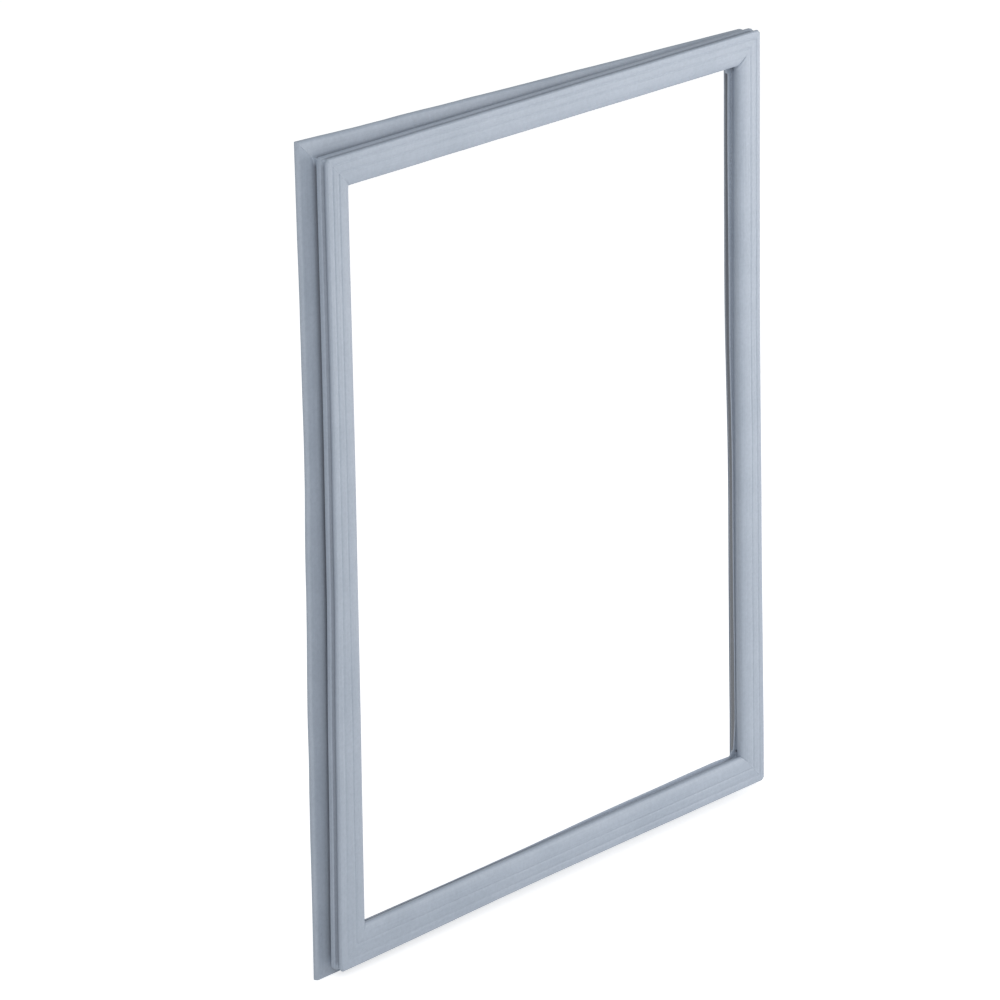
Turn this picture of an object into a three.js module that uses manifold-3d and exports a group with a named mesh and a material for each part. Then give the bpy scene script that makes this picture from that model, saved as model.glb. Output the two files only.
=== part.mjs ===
// Refrigerator door gasket: a hollow soft-PVC section run round a rectangular door, mitred and welded at the
// four corners, with a flexible magnetic strip in the pocket of each side.
//
// Frame, in millimetres: X to the right, Z up, and the sealing face looks along -Y. The origin is the middle of
// the opening, in the back plane that lies on the door. The section is drawn in two coordinates: u outwards from
// the inner edge of the sealing face, and h forwards from the back plane.

import * as THREE from 'three';
import { mergeVertices } from 'three/addons/utils/BufferGeometryUtils.js';
import Module from 'manifold-3d';

// The opening, between the inner edges of the sealing faces
const OPENING_WIDTH = 411;
const OPENING_HEIGHT = 531;

// Sealing face and its rounded inner shoulder, which is hollow up to SHOULDER_HOLLOW_END of its curve
const FACE_WIDTH = 23;
const FACE_HEIGHT = 18.5;
const FACE_EDGE_RADIUS = 1.3;
const SHOULDER_WIDTH = 10;
const SHOULDER_DROP = 3.4;
const SHOULDER_HOLLOW_END = 0.58 * Math.PI;
const HOLLOW_WIDTH = 1.6;
const HOLLOW_DEPTH = 0.25;
const HOLLOW_FROM_EDGE = 5.3;
const HOLLOW_SPACING = 6.2;

// Soft PVC walls
const WALL = 0.9;
const BACK_PLATE = 1.3;

// Magnetic strip, and its clearance in the pocket
const MAGNET_WIDTH = 10;
const MAGNET_THICKNESS = 2.5;
const MAGNET_CORNER_RADIUS = 0.3;
const MAGNET_GAP = 0.3;
const MAGNET_END_GAP = 3;

// Bellows on the outer side: a valley, the pleat rib and a deep slot above the flange
const POCKET_SIDE_WALL = 2.6;
const VALLEY_DEPTH = 1.6;
const RIB_FRONT = 12.4;
const RIB_BACK = 8.4;
const RIB_RADIUS = 0.8;
const SLOT_DEPTH = 2.9;

// Base: inner wall, inner lip and outer flange
const BASE_INSET = 1.9;
const BASE_TAPER = 2.5;
const LIP_REACH = 3.4;
const LIP_FRONT = 9;
const LIP_THICKNESS = 1;
const FLANGE_REACH = 11.5;
const FLANGE_FRONT = 4.6;
const FLANGE_EDGE = 3;
const FLANGE_EDGE_FRONT = 3.5;
const FLANGE_CHAMFER = 0.4;

// Part of the flange's reach that is left at the upper right corner, to which it narrows along both sides
const FLANGE_KEPT = 0.07;

// Push-in dart behind the base
const DART_CENTRE = 13.5;
const DART_LENGTH = 7.6;
const STEM_WIDTH = 2.4;
const BARB_REACH = 3.6;
const BARB_SETBACK = 2.4;
const BARB_SPACING = 2.5;
const BARB_THICKNESS = 0.9;
const BARB_EDGE = 0.3;
const BARB_ROOT = 2;

// Corners: the weld's raised bead, the rounded outer corner of the face and the web that joins two lips
const BEAD_WIDTH = 1.4;
const BEAD_PROUD = 0.15;
const BEAD_FILL = 0.9;
const CORNER_RADIUS = 2.8;
const WEB_RADIUS = 6;
const WEB_STEP = 0.1;

// Air ways: a vent in the inner wall beside each corner, and a hole through the inner webs at each weld
const VENT_RADIUS = 1.1;
const VENT_FROM_CORNER = 5;
const AIR_HOLE_RADIUS = 1.2;

// Facets of curves and holes, and the distance under which two points of an outline are one
const CURVE_STEPS = 7;
const HOLE_SIDES = 16;
const EDGE_STEPS = 3;
const SAME_POINT = 1e-3;

const wasm = await Module();
wasm.setup();

// Sizes that follow from the ones above
const pocketTop = FACE_HEIGHT - WALL;
const pocketFloor = pocketTop - MAGNET_THICKNESS - 2 * MAGNET_GAP;
const pocketOuter = FACE_WIDTH - POCKET_SIDE_WALL;
const pocketInner = pocketOuter - MAGNET_WIDTH - 2 * MAGNET_GAP;
const shoulderHeight = FACE_HEIGHT - SHOULDER_DROP;
const flangeTip = FACE_WIDTH + FLANGE_REACH;
const slotU = FACE_WIDTH - SLOT_DEPTH;
const slotHeight = (RIB_BACK + FLANGE_FRONT) / 2;
const ribU = FACE_WIDTH - RIB_RADIUS;

// Outline of the whole section, clockwise in u and h from the inner end of the back plane.
function sectionOutline() {
  const outline = new THREE.Path();
  outline.moveTo(BASE_INSET + BASE_TAPER, 0);
  outline.lineTo(BASE_INSET, LIP_FRONT - LIP_THICKNESS);
  drawLip(outline, 0);
  drawShoulder(outline, 0);
  drawHollows(outline);
  drawBellows(outline, 0, VALLEY_DEPTH, slotU);
  drawFlange(outline, 0);
  outline.quadraticCurveTo(flangeTip, FLANGE_EDGE_FRONT, flangeTip, FLANGE_CHAMFER);
  outline.lineTo(flangeTip - FLANGE_CHAMFER, 0);
  drawDart(outline);
  outline.lineTo(BASE_INSET + BASE_TAPER, 0);
  return outline;
}

// Outline of the weld's bead: the section swollen a little on the front, with its grooves partly filled.
function beadOutline() {
  const middle = BACK_PLATE / 2;
  const outline = new THREE.Path();
  outline.moveTo(BASE_INSET + BASE_TAPER, middle);
  outline.lineTo(BASE_INSET + WALL, LIP_FRONT - LIP_THICKNESS);
  drawLip(outline, BEAD_PROUD);
  drawShoulder(outline, BEAD_PROUD);
  drawBellows(outline, BEAD_PROUD, VALLEY_DEPTH / 3, slotU + BEAD_FILL);
  drawFlange(outline, BEAD_PROUD);
  outline.quadraticCurveTo(flangeTip, FLANGE_EDGE_FRONT, flangeTip - BACK_PLATE / 2, middle);
  outline.lineTo(BASE_INSET + BASE_TAPER, middle);
  return outline;
}

// The thin lip that lies over the door liner's edge, with a round tip.
function drawLip(outline, swell) {
  const radius = LIP_THICKNESS / 2 + swell;
  const tip = BASE_INSET - LIP_REACH + LIP_THICKNESS / 2;
  outline.absarc(tip, LIP_FRONT - LIP_THICKNESS / 2, radius, -Math.PI / 2, -1.5 * Math.PI, true);
  outline.lineTo(BASE_INSET + WALL / 2, LIP_FRONT + swell);
}

// The inner wall bulges over the lip and rounds into the sealing face.
function drawShoulder(outline, swell) {
  const wallRise = shoulderHeight - LIP_FRONT;
  outline.bezierCurveTo(
    BASE_INSET - swell, LIP_FRONT + wallRise / 4,
    -swell, LIP_FRONT + wallRise / 2,
    -swell, shoulderHeight,
  );
  outline.absellipse(
    SHOULDER_WIDTH, shoulderHeight, SHOULDER_WIDTH + swell, SHOULDER_DROP + swell, Math.PI, Math.PI / 2, true,
  );
}

// Two shallow hollows along the flat of the sealing face.
function drawHollows(outline) {
  for (const fromEdge of [HOLLOW_FROM_EDGE + HOLLOW_SPACING, HOLLOW_FROM_EDGE]) {
    const middle = FACE_WIDTH - fromEdge;
    outline.lineTo(middle - HOLLOW_WIDTH / 2, FACE_HEIGHT);
    outline.quadraticCurveTo(middle, FACE_HEIGHT - 2 * HOLLOW_DEPTH, middle + HOLLOW_WIDTH / 2, FACE_HEIGHT);
  }
}

// The face's outer edge and the folded wall under it: a valley, the rib, and a slot with its floor at floorU.
function drawBellows(outline, swell, valley, floorU) {
  const edge = FACE_EDGE_RADIUS;
  const edgeHeight = FACE_HEIGHT - edge;
  const drop = edgeHeight - RIB_FRONT;
  outline.absarc(FACE_WIDTH - edge, edgeHeight, edge + swell, Math.PI / 2, 0, true);
  outline.bezierCurveTo(
    FACE_WIDTH + swell, edgeHeight - drop / 2,
    FACE_WIDTH + swell - 2 * valley, RIB_FRONT + drop / 3,
    ribU, RIB_FRONT + swell,
  );
  outline.absarc(ribU, RIB_FRONT - RIB_RADIUS, RIB_RADIUS + swell, Math.PI / 2, 0, true);
  outline.absarc(ribU, RIB_BACK + RIB_RADIUS, RIB_RADIUS + swell, 0, -Math.PI / 2, true);
  outline.quadraticCurveTo(floorU, RIB_BACK - swell, floorU, slotHeight);
  outline.quadraticCurveTo(floorU, FLANGE_FRONT + swell, FACE_WIDTH, FLANGE_FRONT + swell);
}

// The front of the outer flange, which falls a little from the slot to its round edge.
function drawFlange(outline, swell) {
  outline.lineTo(flangeTip - FLANGE_EDGE, FLANGE_EDGE_FRONT + swell);
}

// Half of the dart as sideways and backwards distances, from its root to its point.
function dartHalf() {
  const stem = STEM_WIDTH / 2;
  const half = [[stem, 0]];
  for (const index of [0, 1]) {
    const back = BARB_SETBACK + index * BARB_SPACING;
    const reach = BARB_REACH - index * BARB_THICKNESS;
    half.push([stem, back + BARB_THICKNESS]);
    half.push([reach, back]);
    half.push([reach + BARB_EDGE, back + BARB_THICKNESS / 2]);
    half.push([stem, back + BARB_ROOT]);
  }
  half.push([STEM_WIDTH / 4, DART_LENGTH]);
  return half;
}

// The dart pushes into the groove of the door, and its barbs hold it there.
function drawDart(outline) {
  const half = dartHalf();
  for (const [sideways, back] of half) {
    outline.lineTo(DART_CENTRE + sideways, -back);
  }
  for (const [sideways, back] of half.reverse()) {
    outline.lineTo(DART_CENTRE - sideways, -back);
  }
}

// The pocket that holds the magnetic strip.
function pocketOutline() {
  const outline = new THREE.Path();
  outline.moveTo(pocketInner, pocketFloor);
  outline.lineTo(pocketInner, pocketTop);
  outline.lineTo(pocketOuter, pocketTop);
  outline.lineTo(pocketOuter, pocketFloor);
  outline.lineTo(pocketInner, pocketFloor);
  return outline;
}

// Height of the base cell's front web: it slopes from the lip down to the flange.
function webHeight(u) {
  const inner = LIP_FRONT - LIP_THICKNESS;
  const outer = FLANGE_FRONT - WALL;
  return inner + (outer - inner) * (u - BASE_INSET) / (slotU - WALL - BASE_INSET);
}

// The air chamber: under the pocket, up into the shoulder and out into the rib.
function chamberOutline() {
  const innerU = BASE_INSET + WALL;
  const outerU = slotU - WALL;
  const underPocket = pocketFloor - WALL;
  const outline = new THREE.Path();
  outline.moveTo(innerU, webHeight(innerU) + WALL);
  outline.bezierCurveTo(
    innerU, LIP_FRONT + WALL,
    WALL, (LIP_FRONT + shoulderHeight) / 2,
    WALL, shoulderHeight,
  );
  outline.absellipse(
    SHOULDER_WIDTH, shoulderHeight, SHOULDER_WIDTH - WALL, SHOULDER_DROP - WALL, Math.PI, SHOULDER_HOLLOW_END, true,
  );
  outline.lineTo(pocketInner - WALL, pocketTop - WALL / 2);
  outline.lineTo(pocketInner - WALL, underPocket);
  outline.lineTo(pocketOuter - WALL, underPocket);
  outline.lineTo(ribU, RIB_FRONT - WALL);
  outline.lineTo(ribU, RIB_BACK + WALL);
  outline.lineTo(outerU, RIB_BACK);
  outline.lineTo(outerU, webHeight(outerU) + WALL);
  outline.lineTo(innerU, webHeight(innerU) + WALL);
  return outline;
}

// The cell inside the base, behind the web and the flange's front.
function baseCellOutline() {
  const innerU = BASE_INSET + WALL;
  const bendU = slotU - WALL;
  const outerU = flangeTip - FLANGE_EDGE / 2;
  const outline = new THREE.Path();
  outline.moveTo(innerU + BASE_TAPER, BACK_PLATE);
  outline.lineTo(innerU, webHeight(innerU));
  outline.lineTo(bendU, webHeight(bendU));
  outline.lineTo(flangeTip - FLANGE_EDGE, FLANGE_EDGE_FRONT - WALL);
  outline.lineTo(outerU, BACK_PLATE);
  outline.lineTo(innerU + BASE_TAPER, BACK_PLATE);
  return outline;
}

// A path's points without the doubles where two stretches meet.
function pathPoints(path) {
  const points = [];
  for (const point of path.getPoints(CURVE_STEPS)) {
    if (points.length === 0 || point.distanceTo(points[points.length - 1]) > SAME_POINT) {
      points.push(point);
    }
  }
  return points;
}

// Runs a section round the opening. A lathe of four segments makes a square ring with mitred corners, and its
// upper and lower halves are then drawn apart to the height of the door. What lies behind the slot and outside
// fixedU is drawn in at the upper right corner.
function mitredRing(path, fixedU = slotU) {
  const profile = pathPoints(path).map((point) => {
    return new THREE.Vector2((OPENING_WIDTH / 2 + point.x) * Math.SQRT2, -point.y);
  });
  const ring = new THREE.LatheGeometry(profile, 4, Math.PI / 4);
  const position = ring.attributes.position;
  for (let index = 0; index < position.count; index += 1) {
    const z = position.getZ(index);
    position.setZ(index, z + Math.sign(z) * (OPENING_HEIGHT - OPENING_WIDTH) / 2);
    const drawnIn = (position.getX(index) - OPENING_WIDTH / 2 - fixedU) * (1 - FLANGE_KEPT);
    if (z > 0 && drawnIn > 0 && -position.getY(index) < slotHeight) {
      position.setX(index, position.getX(index) - drawnIn);
      position.setZ(index, position.getZ(index) - drawnIn);
    }
  }
  return ring;
}

// A closed three.js geometry as a solid for cutting and joining.
function toSolid(geometry) {
  geometry.deleteAttribute('normal');
  geometry.deleteAttribute('uv');
  const merged = mergeVertices(geometry);
  return new wasm.Manifold(new wasm.Mesh({
    numProp: 3,
    vertProperties: new Float32Array(merged.attributes.position.array),
    triVerts: new Uint32Array(merged.index.array),
  }));
}

// A solid as a three.js geometry again.
function toGeometry(solid) {
  const mesh = solid.getMesh();
  const geometry = new THREE.BufferGeometry();
  geometry.setAttribute('position', new THREE.BufferAttribute(new Float32Array(mesh.vertProperties), 3));
  geometry.setIndex(new THREE.BufferAttribute(new Uint32Array(mesh.triVerts), 1));
  geometry.computeVertexNormals();
  return geometry;
}

// The corner details below are made for the upper right corner, and toCorner moves them to the others.

// The bead of the weld: a slice of the swollen ring along the mitre.
function weldBead() {
  const length = 2 * Math.SQRT2 * (flangeTip + LIP_REACH);
  const depth = 2 * (FACE_HEIGHT + DART_LENGTH);
  const slice = new THREE.BoxGeometry(BEAD_WIDTH, depth, length);
  slice.rotateY(Math.PI / 4);
  slice.translate(OPENING_WIDTH / 2, 0, OPENING_HEIGHT / 2);
  return toSolid(mitredRing(beadOutline())).intersect(toSolid(slice));
}

// The space between a square corner at u and an arc that rounds it, as a plate that reaches past the corner by
// the margin and stands from the back height to the front height.
function roundingPlate(u, radius, margin, back, front) {
  const cornerX = OPENING_WIDTH / 2 + u;
  const cornerZ = OPENING_HEIGHT / 2 + u;
  const shape = new THREE.Shape();
  shape.moveTo(cornerX + margin, cornerZ + margin);
  shape.lineTo(cornerX - radius, cornerZ + margin);
  shape.lineTo(cornerX - radius, cornerZ);
  shape.absarc(cornerX - radius, cornerZ - radius, radius, Math.PI / 2, 0, true);
  shape.lineTo(cornerX + margin, cornerZ - radius);
  const plate = new THREE.ExtrudeGeometry(shape, {
    depth: front - back, bevelEnabled: false, curveSegments: CURVE_STEPS,
  });
  plate.rotateX(Math.PI / 2);
  plate.translate(0, -back, 0);
  return toSolid(plate);
}

// Rounds the outer corner of the face and the rib, and leaves the flange's corner sharp.
function cornerTrim() {
  const front = FACE_HEIGHT + FLANGE_REACH;
  return roundingPlate(FACE_WIDTH + BEAD_PROUD, CORNER_RADIUS, FLANGE_REACH / 2, slotHeight, front);
}

// The web between the lips of two sides, a little thinner than they are and with a rounded inner edge.
function lipWeb() {
  const front = LIP_FRONT - WEB_STEP;
  const back = LIP_FRONT - LIP_THICKNESS + WEB_STEP;
  const u = BASE_INSET - LIP_REACH + LIP_THICKNESS / 2;
  return roundingPlate(u, WEB_RADIUS, LIP_REACH / 2, back, front);
}

// The vent through the inner wall of the upright side, just over its lip.
function ventCutter() {
  const length = 2 * (BASE_INSET + WALL);
  const cutter = new THREE.CylinderGeometry(VENT_RADIUS, VENT_RADIUS, length, HOLE_SIDES);
  cutter.rotateZ(Math.PI / 2);
  const h = LIP_FRONT + VENT_RADIUS + BEAD_PROUD;
  cutter.translate(OPENING_WIDTH / 2 + BASE_INSET, -h, OPENING_HEIGHT / 2 - VENT_FROM_CORNER);
  return toSolid(cutter);
}

// The hole that joins base cell, air chamber and magnet pocket at the weld.
function airHoleCutter() {
  const from = (BACK_PLATE + webHeight(slotU)) / 2;
  const to = pocketFloor + MAGNET_GAP;
  const u = pocketInner + 2 * AIR_HOLE_RADIUS;
  const cutter = new THREE.CylinderGeometry(AIR_HOLE_RADIUS, AIR_HOLE_RADIUS, to - from, HOLE_SIDES);
  cutter.translate(OPENING_WIDTH / 2 + u, -(from + to) / 2, OPENING_HEIGHT / 2 + u);
  return toSolid(cutter);
}

function toCorner(solid, sideX, sideZ) {
  let placed = solid;
  if (sideX < 0) {
    placed = placed.mirror([1, 0, 0]);
  }
  if (sideZ < 0) {
    placed = placed.mirror([0, 0, 1]);
  }
  return placed;
}

function atEveryCorner(solid) {
  const corners = [[1, 1], [-1, 1], [-1, -1], [1, -1]];
  return corners.map(([sideX, sideZ]) => toCorner(solid, sideX, sideZ));
}

// The welded PVC ring with its corner details, chambers and air ways.
function sealGeometry() {
  let seal = toSolid(mitredRing(sectionOutline()));
  for (const detail of [...atEveryCorner(weldBead()), ...atEveryCorner(lipWeb())]) {
    seal = seal.add(detail);
  }
  for (const cutter of atEveryCorner(cornerTrim())) {
    seal = seal.subtract(cutter);
  }
  seal = seal.subtract(toSolid(mitredRing(pocketOutline())));
  seal = seal.subtract(toSolid(mitredRing(chamberOutline())));
  seal = seal.subtract(toSolid(mitredRing(baseCellOutline(), slotU - WALL)));
  for (const cutter of [...atEveryCorner(ventCutter()), ...atEveryCorner(airHoleCutter())]) {
    seal = seal.subtract(cutter);
  }
  return toGeometry(seal);
}

// A flat strip with rounded long edges, lying along X and centred on the origin.
function magnetGeometry(openingLength) {
  const radius = MAGNET_CORNER_RADIUS;
  const halfThickness = MAGNET_THICKNESS / 2;
  const halfWidth = MAGNET_WIDTH / 2;
  const section = new THREE.Shape();
  section.absarc(halfThickness - radius, halfWidth - radius, radius, 0, Math.PI / 2, false);
  section.absarc(radius - halfThickness, halfWidth - radius, radius, Math.PI / 2, Math.PI, false);
  section.absarc(radius - halfThickness, radius - halfWidth, radius, Math.PI, 1.5 * Math.PI, false);
  section.absarc(halfThickness - radius, radius - halfWidth, radius, 1.5 * Math.PI, 2 * Math.PI, false);
  const length = openingLength + 2 * (pocketInner - MAGNET_END_GAP);
  const strip = new THREE.ExtrudeGeometry(section, { depth: length, bevelEnabled: false, curveSegments: EDGE_STEPS });
  strip.translate(0, 0, -length / 2);
  strip.rotateZ(Math.PI / 2);
  strip.rotateY(Math.PI / 2);
  return strip;
}

const gasket = new THREE.Group();
gasket.name = 'door_gasket';

const seal = new THREE.Mesh(
  sealGeometry(),
  new THREE.MeshStandardMaterial({ color: 0xa7b3c4, roughness: 0.55, metalness: 0 }),
);
seal.name = 'seal_extrusion';
gasket.add(seal);

// One magnetic strip in the pocket of each side.
const magnetU = (pocketInner + pocketOuter) / 2;
const magnetH = (pocketFloor + pocketTop) / 2;
const sides = [
  { name: 'magnet_strip_top', length: OPENING_WIDTH, x: 0, z: OPENING_HEIGHT / 2 + magnetU, turn: 0 },
  { name: 'magnet_strip_bottom', length: OPENING_WIDTH, x: 0, z: -OPENING_HEIGHT / 2 - magnetU, turn: 0 },
  { name: 'magnet_strip_left', length: OPENING_HEIGHT, x: -OPENING_WIDTH / 2 - magnetU, z: 0, turn: Math.PI / 2 },
  { name: 'magnet_strip_right', length: OPENING_HEIGHT, x: OPENING_WIDTH / 2 + magnetU, z: 0, turn: Math.PI / 2 },
];
for (const side of sides) {
  const strip = new THREE.Mesh(
    magnetGeometry(side.length),
    new THREE.MeshStandardMaterial({ color: 0x2b2522, roughness: 0.8, metalness: 0.1 }),
  );
  strip.name = side.name;
  strip.position.set(side.x, -magnetH, side.z);
  strip.rotation.y = side.turn;
  gasket.add(strip);
}

export default gasket;
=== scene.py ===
import math

import bpy
import numpy as np
from mathutils import Matrix, Vector, noise


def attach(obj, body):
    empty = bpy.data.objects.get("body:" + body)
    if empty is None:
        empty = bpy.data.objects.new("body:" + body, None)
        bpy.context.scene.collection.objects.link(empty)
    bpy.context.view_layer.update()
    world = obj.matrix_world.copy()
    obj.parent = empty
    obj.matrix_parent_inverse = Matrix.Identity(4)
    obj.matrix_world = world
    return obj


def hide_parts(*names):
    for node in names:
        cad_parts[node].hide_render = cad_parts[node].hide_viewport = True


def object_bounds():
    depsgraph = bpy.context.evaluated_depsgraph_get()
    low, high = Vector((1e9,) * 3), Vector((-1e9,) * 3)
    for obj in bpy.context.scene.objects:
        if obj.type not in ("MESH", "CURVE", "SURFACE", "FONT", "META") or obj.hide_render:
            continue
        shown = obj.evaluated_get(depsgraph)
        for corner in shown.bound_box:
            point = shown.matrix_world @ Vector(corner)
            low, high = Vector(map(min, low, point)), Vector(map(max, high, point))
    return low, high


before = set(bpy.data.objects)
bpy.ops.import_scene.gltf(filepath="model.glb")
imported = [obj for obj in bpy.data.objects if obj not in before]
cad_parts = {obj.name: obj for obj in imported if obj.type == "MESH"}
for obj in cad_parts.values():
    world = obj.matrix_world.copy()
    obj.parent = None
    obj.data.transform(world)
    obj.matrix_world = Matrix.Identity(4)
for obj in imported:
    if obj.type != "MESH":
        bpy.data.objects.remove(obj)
cad_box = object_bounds()

MM = 0.001

# Driving sizes of the ring, as in the part's source
OPENING_WIDTH = 411.0
OPENING_HEIGHT = 531.0
FACE_WIDTH = 23.0
FACE_HEIGHT = 18.5
FACE_EDGE_RADIUS = 1.3
SHOULDER_WIDTH = 10.0
SHOULDER_DROP = 3.4
HOLLOW_WIDTH = 1.6
HOLLOW_DEPTH = 0.25
HOLLOW_FROM_EDGE = 5.3
HOLLOW_SPACING = 6.2
VALLEY_DEPTH = 1.6
RIB_FRONT = 12.4
RIB_BACK = 8.4
RIB_RADIUS = 0.8
SLOT_DEPTH = 2.9
BASE_INSET = 1.9
BASE_TAPER = 2.5
LIP_REACH = 3.4
LIP_FRONT = 9.0
LIP_THICKNESS = 1.0
FLANGE_REACH = 11.5
FLANGE_FRONT = 4.6
FLANGE_EDGE = 3.0
FLANGE_EDGE_FRONT = 3.5
FLANGE_CHAMFER = 0.4
FLANGE_KEPT = 0.07
DART_CENTRE = 13.5
DART_LENGTH = 7.6
STEM_WIDTH = 2.4
BARB_REACH = 3.6
BARB_SETBACK = 2.4
BARB_SPACING = 2.5
BARB_THICKNESS = 0.9
BARB_EDGE = 0.3
BARB_ROOT = 2.0
VENT_RADIUS = 1.1
VENT_FROM_CORNER = 5.0

# Corners
FACE_CORNER_RADIUS = 2.8
LIP_CORNER_RADIUS = 6.0
BEAD_HALF_WIDTH = 0.75
BEAD_PROUD = 0.15

FLANGE_TIP = FACE_WIDTH + FLANGE_REACH
LIP_TIP = BASE_INSET - LIP_REACH
SHOULDER_HEIGHT = FACE_HEIGHT - SHOULDER_DROP
SLOT_U = FACE_WIDTH - SLOT_DEPTH
SLOT_HEIGHT = (RIB_BACK + FLANGE_FRONT) / 2
RING_HEIGHT = OPENING_HEIGHT + 2 * FLANGE_TIP


# ---- camera

# From a fit to the edges of the ring's four sides in the photo
LENS = 206.21
CAMERA_PLACE = (-2.88755, -2.54072, 1.27970)
CAMERA_FORWARD = (0.70730, 0.63119, -0.31831)
CAMERA_RIGHT = (0.66204, -0.74932, -0.01479)


def make_camera():
    data = bpy.data.cameras.new("camera")
    data.sensor_width = 36.0
    data.lens = LENS
    data.clip_end = 50.0
    camera = bpy.data.objects.new("camera", data)
    bpy.context.scene.collection.objects.link(camera)
    forward = Vector(CAMERA_FORWARD).normalized()
    right = Vector(CAMERA_RIGHT)
    up = right.cross(forward).normalized()
    right = forward.cross(up)
    turn = Matrix((right, up, -forward)).transposed()
    camera.matrix_world = Matrix.Translation(CAMERA_PLACE) @ turn.to_4x4()
    bpy.context.scene.camera = camera


# ---- section of the ring


def arc(cu, ch, ru, rh, start, end, steps):
    angles = np.linspace(math.radians(start), math.radians(end), steps + 1)
    return [(cu + ru * math.cos(a), ch + rh * math.sin(a)) for a in angles]


def bezier(points, steps):
    """A quadratic or cubic curve through its control points, with its first point left out."""
    result = []
    for t in np.linspace(0, 1, steps + 1)[1:]:
        level = [np.array(p, float) for p in points]
        while len(level) > 1:
            level = [(1 - t) * a + t * b for a, b in zip(level, level[1:])]
        result.append(tuple(level[0]))
    return result


def straight(start, end, spacing):
    """Points from start to end, with start left out."""
    start, end = np.array(start, float), np.array(end, float)
    steps = max(1, round(float(np.linalg.norm(end - start)) / spacing))
    return [tuple(start + (end - start) * i / steps) for i in range(1, steps + 1)]


def dart_half():
    stem = STEM_WIDTH / 2
    half = [(stem, 0)]
    for index in (0, 1):
        back = BARB_SETBACK + index * BARB_SPACING
        reach = BARB_REACH - index * BARB_THICKNESS
        half.append((stem, back + BARB_THICKNESS))
        half.append((reach, back))
        half.append((reach + BARB_EDGE, back + BARB_THICKNESS / 2))
        half.append((stem, back + BARB_ROOT))
    half.append((STEM_WIDTH / 4, DART_LENGTH))
    return half


def section():
    """The outline as a clockwise list of (u, h), from the inner end of the back plane.

    The last number of a straight is the spacing of its points, and that of an arc or a bezier its steps.
    """
    lip_round = LIP_THICKNESS / 2
    tip_middle = LIP_TIP + lip_round
    outline = [(BASE_INSET + BASE_TAPER, 0.0)]
    outline += straight(outline[-1], (BASE_INSET, LIP_FRONT - LIP_THICKNESS), 1.6)
    outline += straight(outline[-1], (tip_middle, LIP_FRONT - LIP_THICKNESS), 0.8)
    outline += arc(tip_middle, LIP_FRONT - lip_round, lip_round, lip_round, 270, 90, 8)[1:]
    outline += straight(outline[-1], (BASE_INSET, LIP_FRONT), 0.7)
    rise = SHOULDER_HEIGHT - LIP_FRONT
    outline += bezier(
        [outline[-1], (BASE_INSET, LIP_FRONT + rise / 4), (0, LIP_FRONT + rise / 2), (0, SHOULDER_HEIGHT)], 12
    )
    outline += arc(SHOULDER_WIDTH, SHOULDER_HEIGHT, SHOULDER_WIDTH, SHOULDER_DROP, 180, 90, 16)[1:]
    for from_edge in (HOLLOW_FROM_EDGE + HOLLOW_SPACING, HOLLOW_FROM_EDGE):
        middle = FACE_WIDTH - from_edge
        outline += straight(outline[-1], (middle - HOLLOW_WIDTH / 2, FACE_HEIGHT), 1.2)
        low = (middle, FACE_HEIGHT - 2 * HOLLOW_DEPTH)
        outline += bezier([outline[-1], low, (middle + HOLLOW_WIDTH / 2, FACE_HEIGHT)], 6)
    edge_middle = (FACE_WIDTH - FACE_EDGE_RADIUS, FACE_HEIGHT - FACE_EDGE_RADIUS)
    outline += straight(outline[-1], (edge_middle[0], FACE_HEIGHT), 1.2)
    outline += arc(*edge_middle, FACE_EDGE_RADIUS, FACE_EDGE_RADIUS, 90, 0, 7)[1:]
    rib_u = FACE_WIDTH - RIB_RADIUS
    drop = edge_middle[1] - RIB_FRONT
    valley = [
        outline[-1],
        (FACE_WIDTH, edge_middle[1] - drop / 2),
        (FACE_WIDTH - 2 * VALLEY_DEPTH, RIB_FRONT + drop / 3),
        (rib_u, RIB_FRONT),
    ]
    outline += bezier(valley, 11)
    outline += arc(rib_u, RIB_FRONT - RIB_RADIUS, RIB_RADIUS, RIB_RADIUS, 90, 0, 5)[1:]
    outline += straight(outline[-1], (FACE_WIDTH, RIB_BACK + RIB_RADIUS), 0.9)
    outline += arc(rib_u, RIB_BACK + RIB_RADIUS, RIB_RADIUS, RIB_RADIUS, 0, -90, 5)[1:]
    outline += bezier([outline[-1], (SLOT_U, RIB_BACK), (SLOT_U, SLOT_HEIGHT)], 7)
    outline += bezier([outline[-1], (SLOT_U, FLANGE_FRONT), (FACE_WIDTH, FLANGE_FRONT)], 7)
    outline += straight(outline[-1], (FLANGE_TIP - FLANGE_EDGE, FLANGE_EDGE_FRONT), 1.2)
    outline += bezier([outline[-1], (FLANGE_TIP, FLANGE_EDGE_FRONT), (FLANGE_TIP, FLANGE_CHAMFER)], 8)
    outline += [(FLANGE_TIP - FLANGE_CHAMFER, 0.0)]
    half = dart_half()
    outline += straight(outline[-1], (DART_CENTRE + half[0][0], 0.0), 2.5)
    outline += [(DART_CENTRE + side, -back) for side, back in half[1:]]
    outline += [(DART_CENTRE - side, -back) for side, back in reversed(half)]
    outline += straight(outline[-1], (BASE_INSET + BASE_TAPER, 0.0), 2.5)[:-1]
    return np.array(outline)


# ---- the ring

STATION_SPACING = 7.0


def station_distances(half_length):
    """Distances from a mitre to the middle of a side, close together near the weld and the vent."""
    result = [0, 0.25, 0.5, 0.75, 1.05, 1.4, 1.8, 2.25, 2.8, 3.4]
    result += [3.8, 4.1, 4.4, 4.7, 5.0, 5.3, 5.6, 5.9, 6.3, 7, 8, 9.5, 11.5, 14, 17, 21, 26, 32]
    remaining = half_length - result[-1]
    count = round(remaining / STATION_SPACING)
    return result + [result[-1] + remaining * (i + 1) / count for i in range(count)]


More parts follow.
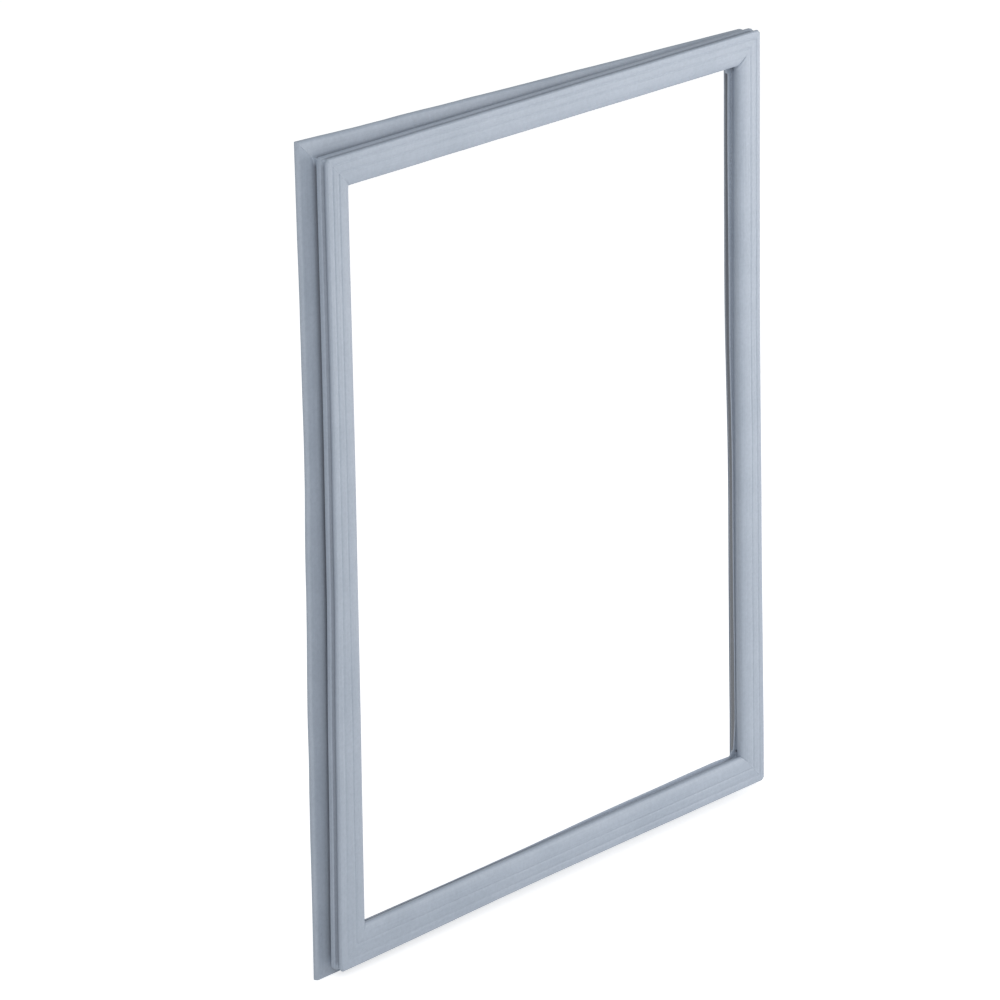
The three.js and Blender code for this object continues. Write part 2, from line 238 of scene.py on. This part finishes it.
# Each side as (outward direction, direction of travel, half across, half along), in X and Z
SIDES = [
    ((0, 1), (1, 0), OPENING_HEIGHT / 2, OPENING_WIDTH / 2),
    ((1, 0), (0, -1), OPENING_WIDTH / 2, OPENING_HEIGHT / 2),
    ((0, -1), (-1, 0), OPENING_HEIGHT / 2, OPENING_WIDTH / 2),
    ((-1, 0), (0, 1), OPENING_WIDTH / 2, OPENING_HEIGHT / 2),
]
CORNERS = ["top_left", "top_right", "bottom_right", "bottom_left"]


def smooth(value, low, high):
    t = np.clip((value - low) / (high - low), 0, 1)
    return t * t * (3 - 2 * t)


def round_corner(along, u, weight, edge_u, radius):
    """Bends a square corner of the edge at edge_u into an arc; along is the distance from the mitre."""
    reach = np.clip(along / radius, 0, 1)
    angle = (1 - reach) * math.pi / 4
    new_along = np.where(along < radius, radius - radius * np.sin(angle), along)
    inset = np.where(along < radius, radius - radius * np.cos(angle), 0)
    return along + (new_along - along) * weight, u - inset * weight


# How the soft ring lies, as (share of a side's length, millimetres outwards): its lip, the tip of its flange,
# the spread of the face's outer edge and the tuck of the base's inner wall
LIP_SWAY = [
    [(0, 0), (0.9, 0), (1, -0.6)],
    [(0, -0.6), (0.06, -1.0), (0.35, 0.2), (0.6, 1.6), (0.94, 2.4), (1, 1.0)],
    [(0, 1.0), (0.06, 0.2), (0.3, 0.6), (0.7, 2.2), (0.96, 2.6), (1, 1.8)],
    [(0, 1.8), (0.1, 0.5), (1, 0)],
]
FLANGE_SWAY = [
    [(0, 0.6), (0.12, 0.2), (0.4, 0), (1, 0)],
    [(0, 0), (1, 0)],
    [(0, 0), (0.7, 0), (1, 2.2)],
    [(0, 2.2), (0.3, 2.4), (0.5, 0.8), (0.62, -0.4), (0.8, -0.2), (0.9, 0.2), (1, 0.6)],
]
SWELL = [
    [(0, 0), (1, 0)],
    [(0, 0), (0.5, 0), (1, 1.8)],
    [(0, 1.8), (0.5, 2.0), (1, 4.6)],
    [(0, 4.6), (0.25, 3.2), (0.5, 0.8), (0.8, 0), (1, 0)],
]
TUCK = [
    [(0, 0), (1, 0)],
    [(0, 0), (0.3, 0), (0.65, 3.0), (1, 3.0)],
    [(0, 3.0), (0.08, 0), (0.3, 0.5), (0.8, 3.2), (1, 3.2)],
    [(0, 3.2), (0.3, 0), (1, 0)],
]
# Its lean on the left and the right, as (share of the height from the top, millimetres towards +X)
SAG_LEFT = [(0, 0.5), (0.4, 1.0), (0.6, 0.6), (1, -0.7)]
SAG_RIGHT = [(0, -0.9), (0.35, -0.9), (0.6, 0.6), (1, 1.8)]
# Painted shade in the grooves of each side, darker towards the bottom of the left side, as (share of its
# length, times what the depth of the groove gives)
EVEN = [(0, 1), (1, 1)]
SHADE_BY_SIDE = [EVEN, EVEN, EVEN, [(0, 1.25), (0.45, 1.2), (0.8, 1), (1, 1)]]

LIP_MARGIN = 0.5  # how far around the lip's thickness its sway reaches, along h
LIP_LIFT = 0.35  # forward lift of the lip for each millimetre outwards
EDGE_START, EDGE_FULL = 20.2, 22.6  # u where the rounding of the face's corners begins and is full
BACK_MARGIN = 0.9  # h below which the weld leaves no bead
FLOW_STEP = 700.0  # keeps the streaks of the four sides apart
# Painted shade in the grooves is left off the welds near a mitre and is full further on; the vents' pits get
# painted shade that grows with their depth
UNSHADED_WELD, SHADED_FROM = 1.0, 5.0  # distances from a mitre
PIT_START, PIT_FULL = 0.1, 0.9  # depths of a vent at which it begins to be, and is, as dark as a groove


def between(knots, place):
    """Smoothly varying value at a place, from (place, value) pairs."""
    for (low, first), (high, second) in zip(knots, knots[1:]):
        if place <= high:
            t = min(max((place - low) / (high - low), 0), 1)
            return first + (second - first) * t * t * (3 - 2 * t)
    return knots[-1][1]


def ring_mesh():
    outline = section()
    count = len(outline)
    u0, h0 = outline[:, 0], outline[:, 1]
    lengths = np.linalg.norm(np.roll(outline, -1, axis=0) - outline, axis=1)
    arc_length = np.concatenate([[0], np.cumsum(lengths)[:-1]])
    tangent = np.roll(outline, -1, axis=0) - np.roll(outline, 1, axis=0)
    tangent /= np.linalg.norm(tangent, axis=1)[:, None]
    normal_u, normal_h = -tangent[:, 1], tangent[:, 0]

    lip = (h0 > LIP_FRONT - LIP_THICKNESS - LIP_MARGIN) & (h0 < LIP_FRONT + LIP_MARGIN)
    lip = lip & (u0 < BASE_INSET + 0.1)
    lip_weight = smooth(-u0, -BASE_INSET, -LIP_TIP) * lip
    edge_weight = smooth(u0, EDGE_START, EDGE_FULL) * smooth(h0, SLOT_HEIGHT, RIB_BACK + 0.5)
    flange = (h0 < SLOT_HEIGHT) & (u0 > SLOT_U)
    front = (h0 > BACK_MARGIN).astype(float)
    # Painted shade for the grooves and under the lip, from each point's place in the section
    painted_shade = groove_shade_of(u0, h0)

    points, flow, shade = [], [], []
    for side, (outward, travel, across, along_half) in enumerate(SIDES):
        distances = station_distances(along_half)
        from_start = distances[:-1] + [2 * along_half - d for d in reversed(distances[1:])]
        total = 2 * along_half
        for s in from_start:
            near = min(s, total - s)
            first = s <= total - s
            corner = side if first else (side + 1) % 4
            u, h = displaced(side, corner, s / total, near, outline, normal_u, normal_h, front)
            to_trimmed = {0: s / total, 1: 1 - s / total}.get(side, 0.0)
            u = u - np.where(flange, (u - SLOT_U) * (1 - FLANGE_KEPT) * to_trimmed, 0)
            sway = between(LIP_SWAY[side], s / total)
            along = near * (along_half + u) / along_half
            along, u = round_corner(along, u, lip_weight, LIP_TIP, LIP_CORNER_RADIUS)
            along, u = round_corner(along, u, edge_weight, FACE_WIDTH, FACE_CORNER_RADIUS)
            u = u + lip_weight * sway
            h = h + lip_weight * LIP_LIFT * max(sway, 0)
            hole = vent_depth(side, along, h0, u0)
            u = u + hole
            travel_pos = (along_half + u) - along
            if first:
                travel_pos = -travel_pos
            x = outward[0] * (across + u) + travel[0] * travel_pos
            z = outward[1] * (across + u) + travel[1] * travel_pos
            x = x + sag(x, z)
            points.append(np.stack([x, -h, z], axis=1))
            down_side = np.full(count, s + side * FLOW_STEP)
            flow.append(np.stack([arc_length, down_side, np.full(count, near)], axis=1))
            # Painted shade: the grooves and the vents' pits are darkened in colour, and the welds are left
            # unshaded
            groove_shade = np.minimum(painted_shade * between(SHADE_BY_SIDE[side], s / total), 1)
            groove_shade = groove_shade * smooth(near, UNSHADED_WELD, SHADED_FROM)
            shade.append(np.maximum(groove_shade, smooth(hole, PIT_START, PIT_FULL)))
    points = np.array(points)
    flow = np.array(flow)
    index = np.arange(len(points) * count).reshape(len(points), count)
    next_row = np.roll(index, -1, axis=0)
    corners = [index, np.roll(index, -1, axis=1), np.roll(next_row, -1, axis=1), next_row]
    faces = np.stack(corners, axis=-1).reshape(-1, 4)
    mesh = bpy.data.meshes.new("seal_skin")
    mesh.from_pydata((points.reshape(-1, 3) * MM).tolist(), [], faces.tolist())
    attribute = mesh.attributes.new("flow", "FLOAT_VECTOR", "POINT")
    attribute.data.foreach_set("vector", flow.reshape(-1).astype(np.float32))
    # The painted shade goes to the material as a point attribute
    attribute = mesh.attributes.new("painted_shade", "FLOAT", "POINT")
    attribute.data.foreach_set("value", np.array(shade).reshape(-1).astype(np.float32))
    mesh.validate()
    mesh.update()
    return mesh


# How dark the painted shade makes each groove, 0 to 1
SLOT_SHADE = 0.8
VALLEY_SHADE = 0.35
UNDER_LIP_SHADE = 0.9
OVER_LIP_SHADE = 0.25
VALLEY_TOP = 17.0


def groove_shade_of(u, h):
    """Painted shade for a place of the section, by how deep it lies in a groove or under the lip: 0 to 1.

    The numbers in it are the edges of each groove, along u and h.
    """
    # Painted shade in the slot, the valley, on the base's wall under the lip and in the groove over the lip
    slot = (u > SLOT_U - 0.1) * smooth(-u, -23.6, -21.2) * smooth(-np.abs(h - SLOT_HEIGHT), -2.4, -1.0)
    valley = VALLEY_SHADE * smooth(-u, -FACE_WIDTH + 0.3, -FACE_WIDTH + 1.2)
    valley = valley * (u > 20.5) * (h > RIB_FRONT - 0.3) * (h < VALLEY_TOP)
    under_lip = UNDER_LIP_SHADE * (u > -1) * (u < 4.6) * (h > 0) * (h < LIP_FRONT - LIP_THICKNESS + 0.05)
    over_lip = OVER_LIP_SHADE * smooth(u, 0.2, 1.6) * (u < 2.2) * (h >= LIP_FRONT) * smooth(-h, -11.0, -9.3)
    return np.maximum.reduce([SLOT_SHADE * slot, valley, under_lip, over_lip])


PIT_DEPTH = 2.0
INNER_WALL_U = 3.0
UPRIGHTS = (1, 3)


def vent_depth(side, along, h, u):
    """Depth of the vent's pit in the inner wall of an upright side."""
    if side not in UPRIGHTS:
        return 0 * u
    middle = LIP_FRONT + VENT_RADIUS + BEAD_PROUD
    distance = np.hypot(along - VENT_FROM_CORNER, h - middle)
    wall = (u < INNER_WALL_U) & (h >= LIP_FRONT)
    return wall * PIT_DEPTH * (1 - smooth(distance, VENT_RADIUS - 0.35, VENT_RADIUS + 0.1))


def sag(x, z):
    """Sideways lean of the soft ring."""
    place = float(np.clip(0.5 - np.mean(z) / RING_HEIGHT, 0, 1))
    weight = np.clip(0.5 + x / OPENING_WIDTH, 0, 1)
    return (1 - weight) * between(SAG_LEFT, place) + weight * between(SAG_RIGHT, place)


# At each weld, the depth of the crease at the inner shoulder and across the face, and how far the weld fills
# the grooves
CREASE = {
    "top_left": (0.30, 0.05, 0.8),
    "top_right": (0.75, 0.12, 0.6),
    "bottom_right": (0.25, 0.06, 0.5),
    "bottom_left": (0.35, 0.06, 0.2),
}
SEAM_WIDTH = 0.38
RIDGE_SHARE = 0.45  # height of the ridges beside the crease, for its depth
RIDGE_PLACE, RIDGE_WIDTH = 1.5, 0.8
FILL_WIDTH = 2.6
FILL_INSET = 0.4
WAVE, WAVE_PITCH = 0.30, 9.0  # long waves of the soft sides: height, and number along a side
RIPPLE, RIPPLE_PITCH = 0.10, 31.0
STIFF_TO, SOFT_FROM = 4.0, 40.0  # distances from a mitre between which the waves grow
SPREAD_START = 11.0
INNER_WALL_END = 6


def displaced(side, corner, position, near, outline, normal_u, normal_h, front):
    """The section at one station, with its warp, weld bead and crease. near is the distance from the mitre."""
    u0, h0 = outline[:, 0], outline[:, 1]
    inner_crease, face_crease, fill = CREASE[CORNERS[corner]]
    bead = BEAD_PROUD * max(0.0, 1 - (near / BEAD_HALF_WIDTH) ** 2)
    seam = math.exp(-((near / SEAM_WIDTH) ** 2))
    shoulder = smooth(-u0, -9.0, -2.0) * smooth(h0, LIP_FRONT + 1, LIP_FRONT + 3.5)
    face = smooth(h0, 16.5, 18.0) * (1 - shoulder)
    pull = seam * (inner_crease * shoulder + face_crease * face)
    ridge = RIDGE_SHARE * inner_crease * shoulder * math.exp(-(((near - RIDGE_PLACE) / RIDGE_WIDTH) ** 2))
    push = (bead + ridge - pull) * front
    grooves = (u0 > SLOT_U - 0.1) * (h0 < VALLEY_TOP) * (h0 > FLANGE_FRONT)
    filled = fill * math.exp(-((near / FILL_WIDTH) ** 2)) * grooves
    wave = noise.noise(Vector((position * WAVE_PITCH, side * 7.3, 0.5)))
    fine = noise.noise(Vector((position * RIPPLE_PITCH, side * 3.1, 4.5)))
    fade = smooth(near, STIFF_TO, SOFT_FROM)
    flange_weight = smooth(u0, 24.0, FLANGE_TIP)
    sway = fade * (WAVE * wave + RIPPLE * fine)
    u = u0 + normal_u * push + sway * (0.5 + flange_weight)
    u = u + flange_weight * between(FLANGE_SWAY[side], position)
    u = u + filled * np.maximum(FACE_WIDTH - FILL_INSET - u0, 0)
    spread = (h0 > SLOT_HEIGHT - 0.1) * smooth(u0, SPREAD_START, FACE_WIDTH)
    u = u + spread * between(SWELL[side], position)
    lip_back = LIP_FRONT - LIP_THICKNESS
    tucked = (u0 < INNER_WALL_END) * (h0 > 0) * np.clip((lip_back - h0) / lip_back, 0, 1)
    corner_u, root_u = BASE_INSET + BASE_TAPER, DART_CENTRE - STEM_WIDTH / 2
    tucked = np.where(h0 == 0, np.clip((root_u - u0) / (root_u - corner_u), 0, 1), tucked)
    bent = np.clip(-h0 / DART_LENGTH, 0, 1)
    u = u + (tucked + bent) * between(TUCK[side], position)
    h = h0 + normal_h * push
    return u, h


def make_ring(material):
    mesh = ring_mesh()
    ring = bpy.data.objects.new("seal_skin", mesh)
    bpy.context.scene.collection.objects.link(ring)
    mesh.materials.append(material)
    for polygon in mesh.polygons:
        polygon.use_smooth = True
    return ring


# ---- materials


def principled(name):
    material = bpy.data.materials.new(name)
    material.use_nodes = True
    nodes = material.node_tree.nodes
    return material, nodes, material.node_tree.links, nodes["Principled BSDF"]


def ramp(nodes, stops):
    node = nodes.new("ShaderNodeValToRGB")
    elements = node.color_ramp.elements
    while len(elements) < len(stops):
        elements.new(0.5)
    for element, (place, colour) in zip(elements, stops):
        element.position = place
        element.color = (*colour, 1)
    return node


def scaled(nodes, links, source, scale):
    node = nodes.new("ShaderNodeVectorMath")
    node.operation = "MULTIPLY"
    node.inputs[1].default_value = scale
    links.new(source, node.inputs[0])
    return node.outputs[0]


def noise_node(nodes, links, source, scale, detail, roughness):
    node = nodes.new("ShaderNodeTexNoise")
    node.inputs["Scale"].default_value = scale
    node.inputs["Detail"].default_value = detail
    node.inputs["Roughness"].default_value = roughness
    links.new(source, node.inputs["Vector"])
    return node.outputs["Fac"]


def multiplied(nodes, links, first, second):
    """Product of two colours; sockets 6, 7 and 2 are the Mix node's colour ones."""
    node = nodes.new("ShaderNodeMix")
    node.data_type = "RGBA"
    node.blend_type = "MULTIPLY"
    node.inputs[0].default_value = 1.0
    links.new(first, node.inputs[6])
    links.new(second, node.inputs[7])
    return node.outputs[2]


def bumped(nodes, links, height, strength, distance):
    node = nodes.new("ShaderNodeBump")
    node.inputs["Strength"].default_value = strength
    node.inputs["Distance"].default_value = distance
    links.new(height, node.inputs["Height"])
    return node


def pvc_material():
    """Soft grey-blue PVC: faint streaks along each side, cloudy tone, mottling, grain, and painted shade in
    the grooves, under the lip and in the vents.
    """
    material, nodes, links, shader = principled("soft_pvc_skin")
    shader.inputs["Roughness"].default_value = 0.5
    flow = nodes.new("ShaderNodeAttribute")
    flow.attribute_name = "flow"
    place = nodes.new("ShaderNodeTexCoord").outputs["Object"]
    drawn_out = scaled(nodes, links, flow.outputs["Vector"], (0.9, 0.012, 0))
    streak = noise_node(nodes, links, drawn_out, 1.0, 3.0, 0.5)
    cloud = noise_node(nodes, links, place, 22.0, 5.0, 0.55)
    grain = noise_node(nodes, links, place, 1400.0, 2.0, 0.6)
    base = ramp(nodes, [(0.30, (0.382, 0.437, 0.516)), (0.70, (0.420, 0.475, 0.556))])
    links.new(cloud, base.inputs[0])
    lines = ramp(nodes, [(0.30, (0.95, 0.955, 0.96)), (0.50, (1.0, 1.0, 1.0)), (0.72, (1.03, 1.025, 1.02))])
    links.new(streak, lines.inputs[0])
    colour = multiplied(nodes, links, base.outputs[0], lines.outputs[0])
    mottle = ramp(nodes, [(0.32, (0.945, 0.945, 0.95)), (0.68, (1.045, 1.045, 1.04))])
    links.new(noise_node(nodes, links, place, 420.0, 3.0, 0.65), mottle.inputs[0])
    colour = multiplied(nodes, links, colour, mottle.outputs[0])
    # Painted shade: the colour is darkened by the shade attribute in the grooves, under the lip and in the
    # vents' pits
    painted_shade = nodes.new("ShaderNodeAttribute")
    painted_shade.attribute_name = "painted_shade"
    shade_ramp = ramp(nodes, [(0.0, (1.0, 1.0, 1.0)), (0.6, (0.50, 0.50, 0.52)), (1.0, (0.16, 0.16, 0.17))])
    links.new(painted_shade.outputs["Fac"], shade_ramp.inputs[0])
    colour = multiplied(nodes, links, colour, shade_ramp.outputs[0])
    links.new(colour, shader.inputs["Base Color"])
    first = bumped(nodes, links, grain, 0.18, 0.0004)
    second = bumped(nodes, links, streak, 0.15, 0.0004)
    links.new(first.outputs[0], second.inputs["Normal"])
    links.new(second.outputs[0], shader.inputs["Normal"])
    return material


def magnet_material():
    """Flexible ferrite strip: nearly black brown, matte, with a fine grain."""
    material, nodes, links, shader = principled("flexible_magnet_strip")
    shader.inputs["Roughness"].default_value = 0.75
    place = nodes.new("ShaderNodeTexCoord").outputs["Object"]
    grain = noise_node(nodes, links, place, 900.0, 3.0, 0.6)
    colour = ramp(nodes, [(0.35, (0.013, 0.011, 0.010)), (0.7, (0.030, 0.026, 0.023))])
    links.new(grain, colour.inputs[0])
    links.new(colour.outputs[0], shader.inputs["Base Color"])
    links.new(bumped(nodes, links, grain, 0.3, 0.0003).outputs[0], shader.inputs["Normal"])
    return material


# ---- studio

FLOOR_HALF = 12.0
FLOOR_GLOW = 0.63  # with the lamps' light, just enough for a white floor that keeps the shadow
WORLD_STRENGTH = 0.5


def seen_directly(nodes, links):
    """1 for camera, glossy and transmission rays."""
    path = nodes.new("ShaderNodeLightPath")
    first = nodes.new("ShaderNodeMath")
    first.operation = "MAXIMUM"
    links.new(path.outputs["Is Camera Ray"], first.inputs[0])
    links.new(path.outputs["Is Glossy Ray"], first.inputs[1])
    second = nodes.new("ShaderNodeMath")
    second.operation = "MAXIMUM"
    links.new(first.outputs[0], second.inputs[0])
    links.new(path.outputs["Is Transmission Ray"], second.inputs[1])
    return second.outputs[0]


def make_world():
    world = bpy.data.worlds.new("studio")
    bpy.context.scene.world = world
    world.use_nodes = True
    nodes, links = world.node_tree.nodes, world.node_tree.links
    nodes.clear()
    output = nodes.new("ShaderNodeOutputWorld")
    light = nodes.new("ShaderNodeBackground")
    light.inputs["Color"].default_value = (0.96, 0.98, 1.0, 1)
    light.inputs["Strength"].default_value = WORLD_STRENGTH
    white = nodes.new("ShaderNodeBackground")
    white.inputs["Strength"].default_value = 1.0
    white.inputs["Color"].default_value = (1, 1, 1, 1)
    mix = nodes.new("ShaderNodeMixShader")
    path = nodes.new("ShaderNodeLightPath")
    links.new(path.outputs["Is Camera Ray"], mix.inputs[0])
    links.new(light.outputs[0], mix.inputs[1])
    links.new(white.outputs[0], mix.inputs[2])
    links.new(mix.outputs[0], output.inputs[0])


def make_floor(height):
    size = FLOOR_HALF
    mesh = bpy.data.meshes.new("floor")
    corners = [(-size, -size, height), (size, -size, height), (size, size, height), (-size, size, height)]
    mesh.from_pydata(corners, [], [(0, 1, 2, 3)])
    floor = bpy.data.objects.new("floor", mesh)
    bpy.context.scene.collection.objects.link(floor)
    material, nodes, links, shader = principled("pale_floor")
    shader.inputs["Base Color"].default_value = (0.8, 0.8, 0.8, 1)
    shader.inputs["Roughness"].default_value = 1.0
    shader.inputs["Specular IOR Level"].default_value = 0.0
    glow = nodes.new("ShaderNodeEmission")
    glow.inputs["Color"].default_value = (1, 1, 1, 1)
    glow.inputs["Strength"].default_value = 1.0
    mix = nodes.new("ShaderNodeMixShader")
    add = nodes.new("ShaderNodeAddShader")
    weight = nodes.new("ShaderNodeMath")
    weight.operation = "MULTIPLY"
    weight.inputs[1].default_value = FLOOR_GLOW
    links.new(seen_directly(nodes, links), weight.inputs[0])
    dark = nodes.new("ShaderNodeEmission")
    dark.inputs["Strength"].default_value = 0.0
    links.new(weight.outputs[0], mix.inputs[0])
    links.new(dark.outputs[0], mix.inputs[1])
    links.new(glow.outputs[0], mix.inputs[2])
    links.new(shader.outputs[0], add.inputs[0])
    links.new(mix.outputs[0], add.inputs[1])
    links.new(add.outputs[0], nodes["Material Output"].inputs[0])
    mesh.materials.append(material)


def make_lamp(name, place, target, size, power, colour):
    data = bpy.data.lights.new(name, "AREA")
    data.shape = "DISK"
    data.size = size
    data.energy = power
    data.color = colour
    lamp = bpy.data.objects.new(name, data)
    lamp.location = place
    lamp.rotation_euler = (Vector(target) - Vector(place)).to_track_quat("-Z", "Y").to_euler()
    bpy.context.scene.collection.objects.link(lamp)


make_camera()
make_world()
make_floor(cad_box[0][2])
make_lamp("key", (-1.6, -1.5, 1.2), (0, 0, 0), 1.4, 17, (1.0, 0.99, 0.98))
make_lamp("fill", (1.2, -0.95, 0.15), (0.2, 0, -0.05), 0.8, 10, (1.0, 0.985, 0.98))

skin = make_ring(pvc_material())
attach(skin, "root")
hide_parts("seal_extrusion")

strip_material = magnet_material()
for side in ("top", "bottom", "left", "right"):
    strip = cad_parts["magnet_strip_" + side]
    strip.data.materials.clear()
    strip.data.materials.append(strip_material)

bpy.context.scene.view_settings.view_transform = "Standard"
